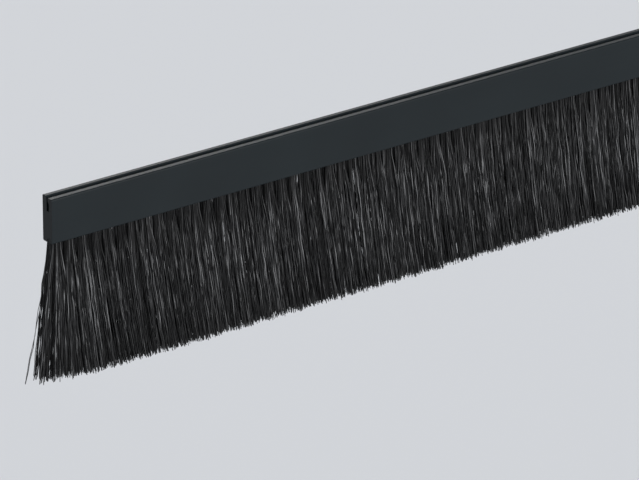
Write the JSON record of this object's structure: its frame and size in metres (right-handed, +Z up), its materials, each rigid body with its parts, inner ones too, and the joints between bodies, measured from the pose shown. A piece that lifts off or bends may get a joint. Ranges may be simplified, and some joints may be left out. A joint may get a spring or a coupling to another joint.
{
  "type": "rack brush strip",
  "caption": "Black push-on brush strip for a rack cable opening: a slim moulded bar clips onto the panel's edge by a slot along its top, and stapled bristle tufts hang below it.",
  "frame": {"origin": "middle of the clip slot's floor, halfway along the strip, where the panel's edge seats", "axes": "+X along the strip, -Y out of the front face, +Z up out of the clip slot; the bristles hang in -Z"},
  "size_m": [0.4691, 0.0073, 0.0794],
  "materials": {
    "holder_plastic": "satin black moulded plastic with a faint grey sheen, sawn square at the ends",
    "bristle_filament": "black synthetic filaments, 0.3 mm thick, semi-gloss, slightly uneven in shade and length",
    "anchor_wire": "bright flat steel wire, cut to length"
  },
  "bodies": {
    "root": {"holder": "holder_plastic", "anchors": "anchor_wire", "tufts_01": "bristle_filament", "tufts_02": "bristle_filament", "tufts_03": "bristle_filament", "tufts_04": "bristle_filament", "tufts_05": "bristle_filament", "tufts_06": "bristle_filament", "tufts_07": "bristle_filament", "tufts_08": "bristle_filament", "tufts_09": "bristle_filament", "tufts_10": "bristle_filament", "tufts_11": "bristle_filament", "tufts_12": "bristle_filament", "tufts_13": "bristle_filament", "tufts_14": "bristle_filament", "tufts_15": "bristle_filament", "tufts_16": "bristle_filament", "tufts_17": "bristle_filament", "tufts_18": "bristle_filament", "tufts_19": "bristle_filament", "tufts_20": "bristle_filament", "tufts_21": "bristle_filament", "tufts_22": "bristle_filament", "tufts_23": "bristle_filament", "tufts_24": "bristle_filament", "tufts_25": "bristle_filament"}
  },
  "joints": []
}
